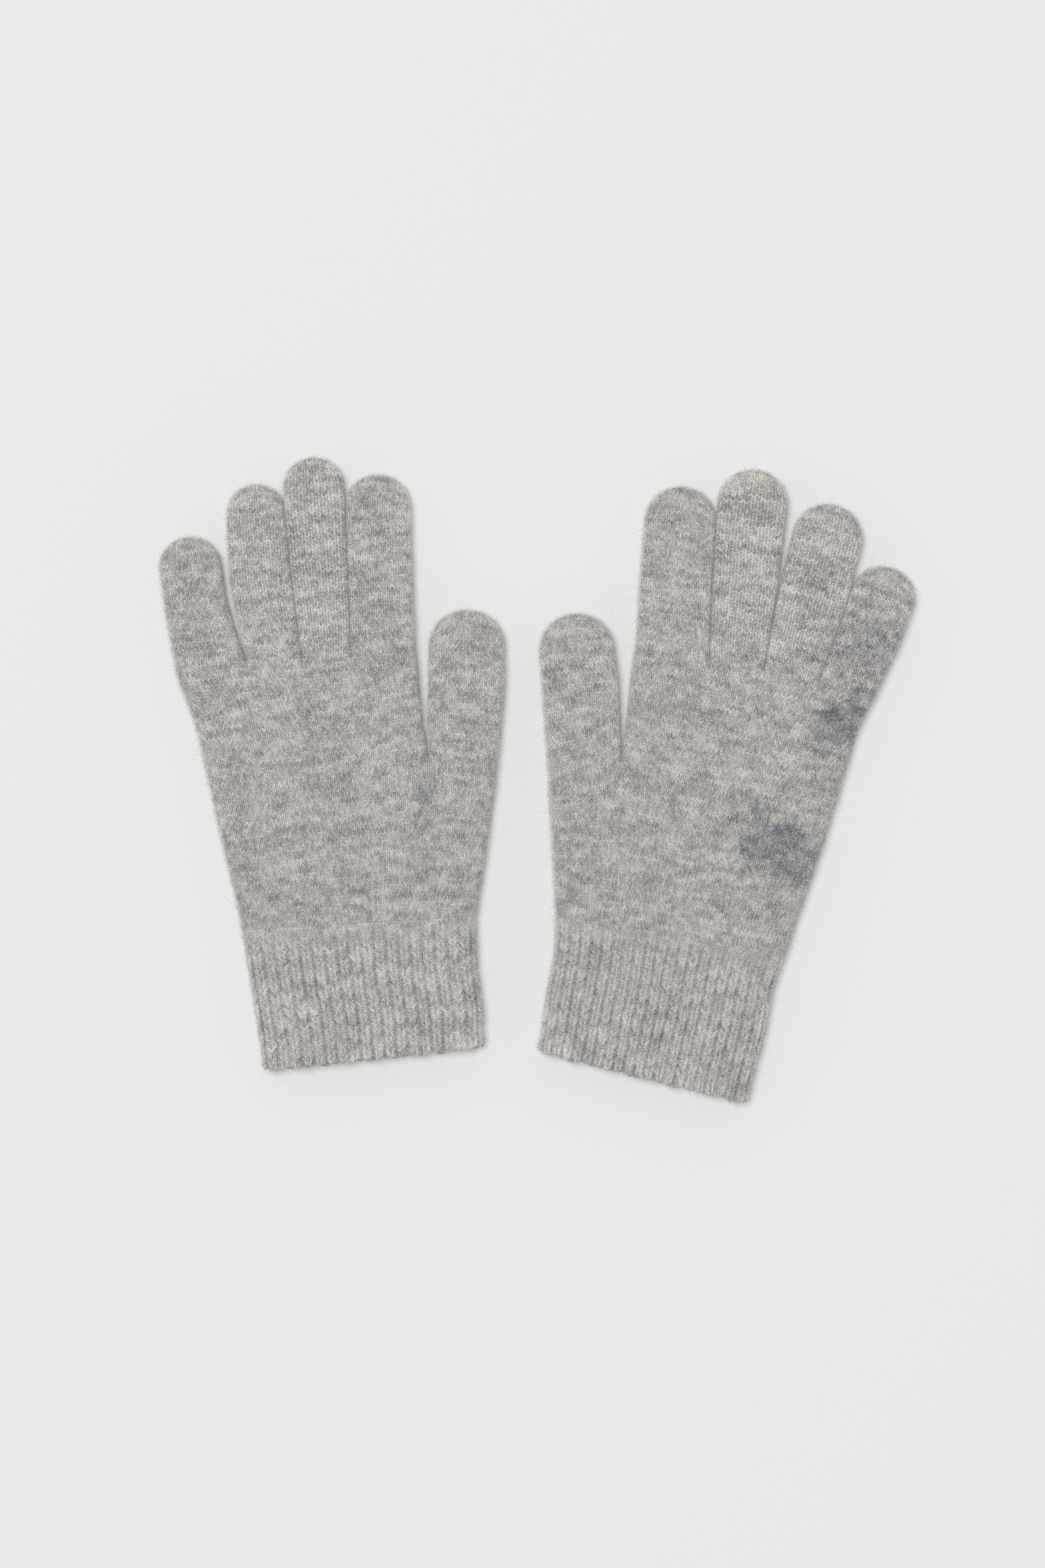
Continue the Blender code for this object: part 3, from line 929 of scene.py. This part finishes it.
def stitch_look(n, knit, wale_width, lean, groove=0.0):
    """Tone and height of a knit of one V to each wale and course, from its melange yarn, with
    painted shade in the valleys between the legs and in the rib's grooves.
    """
    wale, course, seed = knit
    place = n.calc("ABSOLUTE", n.minus(n.calc("FRACT", wale), 0.5))
    side = n.over(place, 0.5 - groove)
    leg = n.minus(course, n.times(side, lean))
    leg_number = n.calc("FLOOR", n.plus(leg, 0.5))
    half_wale = n.calc("FLOOR", n.times(wale, 2.0))
    x = n.times(half_wale, wale_width / 2)
    y = n.times(leg_number, COURSE_MM)
    z = n.times(seed, 37.0)

    def patches(width, height, offset, detail=2.0):
        """Blotches of yarn that is darker or paler, one tone to each leg of a stitch."""
        along, up = n.over(x, width), n.over(y, height)
        return n.noise(n.vector(along, up, n.plus(z, offset)), detail)

    beside = n.times_plus(half_wale, 7.3, n.times(side, 0.55 * wale_width))
    fibre = n.noise(n.vector(n.times(leg, STRANDS), beside, z), 3.0, 0.65)
    bulge = n.minus(1.0, n.calc("POWER", n.times_plus(side, 2.0, -1.0), 2.0))
    bulge = n.calc("MAXIMUM", bulge, 0.0)
    wave = n.calc("COSINE", n.times(leg, 2 * math.pi))
    roundness = n.times_plus(wave, 0.5, 0.5)
    height = n.times(bulge, n.times_plus(roundness, 0.6, 0.4))
    leg_shade = n.chance(n.vector(half_wale, leg_number, seed))
    streaks = n.noise(n.vector(n.over(x, 5.5), n.times(leg_number, 7.7), z))
    # painted shade: the legs' height darkens the valleys between them and lightens their tops
    tone = n.total(
        *((patches(*blotch), weight) for *blotch, weight in BLOTCHES),
        (streaks, 0.12),
        *zip((leg_shade, fibre, height), RIB_WEIGHTS if groove else PLAIN_WEIGHTS),
    )
    if groove:
        tone = n.plus(tone, RIB_PALER)
        # painted shade: the grooves between the ribs are darker, by an amount that varies over the
        # cuff
        groove_shade = n.calc("MAXIMUM", n.minus(side, 0.85), 0.0)
        depth = n.times_plus(patches(9.0, 14.0, 31.0), -0.8, -0.25)
        tone = n.times_plus(groove_shade, depth, tone)
    return tone, n.total((fibre, 0.6), (height, 0.8)), patches


def wool_material(name, ribbed=False, edge_highlight=EDGE_HIGHLIGHT):
    """Melange wool: yarn of pale and dark fibres, its colours laid along the courses, with painted
    shade between the stitches and a painted highlight along the outlines.
    """
    material, n = new_material(name)
    places = n.add("ShaderNodeAttribute", attribute_name="knit").outputs["Vector"]
    knit = wale, course, seed = n.add("ShaderNodeSeparateXYZ", {0: places}).outputs
    if ribbed:
        share = n.clamped(n.times(course, -COURSE / RIB_START))
        plain_wale = n.times(wale, RIB_WALES)
        plain, plain_lift, _ = stitch_look(n, (plain_wale, course, seed), WALE_MM, LEAN)
        tone, lift, patches = stitch_look(n, knit, RIB_MM, RIB_LEAN, GROOVE)
        tone, lift = n.between(plain, tone, share), n.between(plain_lift, lift, share)
    else:
        tone, lift, patches = stitch_look(n, knit, WALE_MM, LEAN)
    across_it = n.times(wale, (RIB_MM if ribbed else WALE_MM) / LOOSE_WIDTH)
    along_it = n.times(course, COURSE_MM / LOOSE_HEIGHT)
    loose = n.noise(n.vector(across_it, along_it, seed), 3.0)
    # painted highlight: the outlines, where the fuzz is denser, are made paler
    fuzz = n.add("ShaderNodeAttribute", attribute_name="fuzz").outputs["Fac"]
    edge = n.clamped(n.over(n.minus(fuzz, 1.0), EDGE_FUZZ - 1))
    tone = n.total((loose, LOOSE_WEIGHT), (edge, edge_highlight), (tone, 1.0))
    if not ribbed:
        for patch in DARK_PATCHES:
            tone = n.minus(tone, dark_patch(n, knit, *patch))
    place = n.times_plus(tone, 0.5, TONE_MIDDLE)
    dyed = add_ramp(n, place, DARK_WOOL, 0.5, MIDDLE_WOOL, PALE_WOOL)
    blush = n.minus(patches(3.6, 2.6, 23.0, 1.0), 1.0)
    blush = n.clamped(n.times(blush, 1.6), 0.35)
    height = n.total((loose, 0.4), (lift, 1.0))
    bump = n.add("ShaderNodeBump", {"Height": height, "Strength": 0.6, "Distance": 0.12 * MM})
    look = {
        "Base Color": n.mixed(blush, dyed, PINK_WOOL),
        "Roughness": 0.95,
        "Specular IOR Level": 0.2,
        "Sheen Weight": 0.9,
        "Sheen Roughness": 0.45,
        "Normal": bump,
    }
    add_surface(n, look)
    return material


def dark_patch(n, knit, middle_wale, middle_course, wide, high, depth):
    """What a patch of darker yarn with a ragged edge takes off the tone. It is on the second
    glove only, whose number is 1."""
    wale, course, seed = knit
    x = n.over(n.minus(wale, middle_wale), wide)
    y = n.over(n.minus(course, middle_course), high)
    apart = n.calc("SQRT", n.plus(n.times(x, x), n.times(y, y)))
    ragged = n.noise(n.vector(n.over(wale, 5.0), n.over(course, 3.0), 4.0))
    inside = n.minus(1.15, n.times_plus(ragged, 0.45, apart))
    inside = n.clamped(n.times(inside, 2.0))
    return n.times(n.times(inside, seed), depth)


def fibre_material():
    material, n = new_material("wool_fibres")
    random = n.add("ShaderNodeHairInfo").outputs["Random"]
    dyed = add_ramp(n, random, DARK_FIBRE, 0.35, MIDDLE_FIBRE, PALE_FIBRE)
    add_surface(n, {"Base Color": dyed, "Roughness": 0.8, "Specular IOR Level": 0.3})
    return material


# ---- fuzz


PER_SQUARE_MM = 1e6
# Fibres: how many, their length and how much it varies, thickness, curl, and lean in radians
FUZZ = {
    "down": (2.6 * PER_SQUARE_MM, 1.3 * MM, 0.6, 0.038 * MM, 1.5 * MM, 1.15),
    "stray_fibres": (0.035 * PER_SQUARE_MM, 7 * MM, 0.6, 0.04 * MM, 9 * MM, 1.45),
}


def fuzz_group(fibre, name, density, length, spread, thickness, curl, lean):
    """Geometry nodes that grow fibres on a piece, wherever its pose has taken it."""
    group = bpy.data.node_groups.new(name, "GeometryNodeTree")
    for label, kind in (("Geometry", "Geometry"), ("Piece", "Object"), ("Seed", "Int")):
        group.interface.new_socket(label, in_out="INPUT", socket_type="NodeSocket" + kind)
    group.interface.new_socket("Geometry", in_out="OUTPUT", socket_type="NodeSocketGeometry")
    n = Nodes(group)
    given = n.add("NodeGroupInput").outputs
    source = {"Object": given["Piece"]}
    piece = n.add("GeometryNodeObjectInfo", source, transform_space="RELATIVE")
    hairy = n.add("GeometryNodeInputNamedAttribute", {"Name": "fuzz"}, data_type="FLOAT")
    amount = n.times(hairy, density)
    sown = {"Mesh": piece.outputs["Geometry"], "Seed": given["Seed"], "Density": amount}
    roots = n.add("GeometryNodeDistributePointsOnFaces", sown)
    line = n.add("GeometryNodeCurvePrimitiveLine", {"End": (0, 0, length)})
    points = n.add("GeometryNodeResampleCurve", {"Curve": line, "Count": 6})
    tilts = {0: (-lean, -lean, -math.pi), 1: (lean, lean, math.pi), "Seed": given["Seed"]}
    tilt = n.add("FunctionNodeRandomValue", tilts, data_type="FLOAT_VECTOR")
    euler = n.add("FunctionNodeEulerToRotation", {0: tilt})
    turns = {0: roots.outputs["Rotation"], 1: euler}
    turn = n.add("FunctionNodeRotateRotation", turns, rotation_space="LOCAL")
    scale = n.add("FunctionNodeRandomValue", data_type="FLOAT")
    for socket, value in zip((s for s in scale.inputs if s.enabled), (1 - spread, 1 + spread)):
        n.feed(socket, value)
    planted = {"Points": roots.outputs["Points"], "Instance": points}
    planted["Rotation"] = turn
    planted["Scale"] = next(s for s in scale.outputs if s.enabled)
    placed = n.add("GeometryNodeInstanceOnPoints", planted)
    real = n.add("GeometryNodeRealizeInstances", {0: placed})
    along = n.add("GeometryNodeSplineParameter").outputs["Factor"]
    place = n.add("GeometryNodeInputPosition")
    wave = n.add("ShaderNodeTexNoise", {"Vector": place, "Scale": 0.9 / length, "Detail": 1.0})
    centring = {0: wave.outputs[1], 1: (0.5, 0.5, 0.5)}
    centred = n.add("ShaderNodeVectorMath", centring, operation="SUBTRACT")
    scaling = {0: centred, "Scale": n.times(n.calc("POWER", along, 1.5), curl)}
    pull = n.add("ShaderNodeVectorMath", scaling, operation="SCALE")
    bent = n.add("GeometryNodeSetPosition", {"Geometry": real, "Offset": pull})
    radius = n.times(n.minus(1.15, along), thickness / 2)
    thick = n.add("GeometryNodeSetCurveRadius", {"Curve": bent, "Radius": radius})
    dyed = n.add("GeometryNodeSetMaterial", {"Geometry": thick, "Material": fibre})
    joined = n.add("GeometryNodeJoinGeometry")
    for grown in (dyed, given["Geometry"]):
        n.feed(joined.inputs[0], grown)
    n.add("NodeGroupOutput", {0: joined})
    return group


def grow_fuzz(pieces):
    """Short down all over, and a few long stray fibres."""
    fibre = fibre_material()
    groups = [fuzz_group(fibre, name, *recipe) for name, recipe in FUZZ.items()]
    for i, piece in enumerate(pieces):
        name = piece.name + "_fuzz"
        fuzz = add_object(name, bpy.data.hair_curves.new(name))
        for group in groups:
            modifier = fuzz.modifiers.new(group.name, "NODES")
            modifier.node_group = group
            sockets = {s.name: s.identifier for s in group.interface.items_tree}
            modifier[sockets["Piece"]] = piece
            modifier[sockets["Seed"]] = i


# ---- table, lights and camera


TABLE_SIZE = 4.0  # from its middle to each side
TABLE_GREY = 0.62
TABLE_GLOW = 0.2295  # the light table's own light, which keeps the shadows thin
KEY_PLACE, KEY_SIZE, KEY_POWER = (-0.9, 0.8, 5.2), 2.6, 172
HORIZON_LIGHT, TOP_LIGHT = 0.82, 0.22  # brightness of the white room round the table
HORIZON_END, TOP_START = 0.35, 0.7  # and the heights, as a share, between which it fades
PICTURE_HEIGHT = 0.5924  # metres of table that the picture's long side takes in
CAMERA_HEIGHT = 1.6
CAMERA_OFF_CENTRE = (-0.0055, -0.0013)  # the pair lies right of the picture's middle and above it


def table_material():
    material, n = new_material("pale_table")
    look = {
        "Base Color": (TABLE_GREY, TABLE_GREY, TABLE_GREY, 1),
        "Emission Color": (1, 1, 1, 1),
        "Emission Strength": TABLE_GLOW,
        "Roughness": 0.9,
        "Specular IOR Level": 0.1,
    }
    add_surface(n, look)
    return material


def add_table():
    mesh = bpy.data.meshes.new("table")
    far = TABLE_SIZE
    corners = [(-far, -far, 0), (far, -far, 0), (far, far, 0), (-far, far, 0)]
    mesh.from_pydata(corners, [], [(0, 1, 2, 3)])
    mesh.materials.append(table_material())
    add_object("table", mesh)


def add_world():
    """A white room that is brightest near the horizon."""
    world = bpy.data.worlds.new("studio")
    world.use_nodes = True
    n = Nodes(world.node_tree)
    direction = n.add("ShaderNodeTexCoord").outputs["Generated"]
    upwards = n.add("ShaderNodeSeparateXYZ", {0: direction}).outputs["Z"]
    fading = {"Value": upwards, "From Min": HORIZON_END, "From Max": TOP_START}
    fading |= {"To Min": HORIZON_LIGHT, "To Max": TOP_LIGHT}
    share = n.add("ShaderNodeMapRange", fading)
    background = world.node_tree.nodes["Background"]
    n.feed(background.inputs["Color"], (1, 1, 1, 1))
    n.feed(background.inputs["Strength"], share)
    bpy.context.scene.world = world


def add_key_light(target):
    data = bpy.data.lights.new("key", "AREA")
    data.shape, data.size, data.energy = "DISK", KEY_SIZE, KEY_POWER
    light = add_object("key", data)
    light.location = KEY_PLACE
    towards = Vector(target) - Vector(KEY_PLACE)
    light.rotation_euler = towards.to_track_quat("-Z", "Y").to_euler()


def add_camera(target):
    data = bpy.data.cameras.new("camera")
    data.sensor_width = 36
    data.lens = data.sensor_width * CAMERA_HEIGHT / PICTURE_HEIGHT
    data.clip_end = 20
    camera = add_object("camera", data)
    x, y = target[0] + CAMERA_OFF_CENTRE[0], target[1] + CAMERA_OFF_CENTRE[1]
    camera.location = (x, y, CAMERA_HEIGHT)
    bpy.context.scene.camera = camera


# ---- the scene


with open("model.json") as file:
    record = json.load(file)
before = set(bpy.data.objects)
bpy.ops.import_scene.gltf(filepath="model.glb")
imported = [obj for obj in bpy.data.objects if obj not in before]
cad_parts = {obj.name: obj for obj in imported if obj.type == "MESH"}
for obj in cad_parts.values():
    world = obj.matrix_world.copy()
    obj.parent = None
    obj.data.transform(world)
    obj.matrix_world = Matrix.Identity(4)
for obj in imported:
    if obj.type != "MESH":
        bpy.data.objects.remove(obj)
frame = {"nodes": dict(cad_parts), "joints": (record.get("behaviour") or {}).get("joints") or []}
cad_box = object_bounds()
knit_wool = wool_material("knit_wool")
rib_wool = wool_material("rib_wool", ribbed=True)
hem_wool = wool_material("hem_wool", ribbed=True, edge_highlight=0.0)
for glove_side in SIDES:
    knit_glove(glove_side, knit_wool, rib_wool, hem_wool)
grow_fuzz([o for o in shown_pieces() if "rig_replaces" in o])

middle_of_pair = (cad_box[0] + cad_box[1]) / 2
add_table()
add_world()
add_key_light(middle_of_pair)
add_camera(middle_of_pair)
bpy.context.scene.view_settings.view_transform = "Standard"
bpy.context.scene.cycles.use_denoising = False  # it would wipe out the fibres
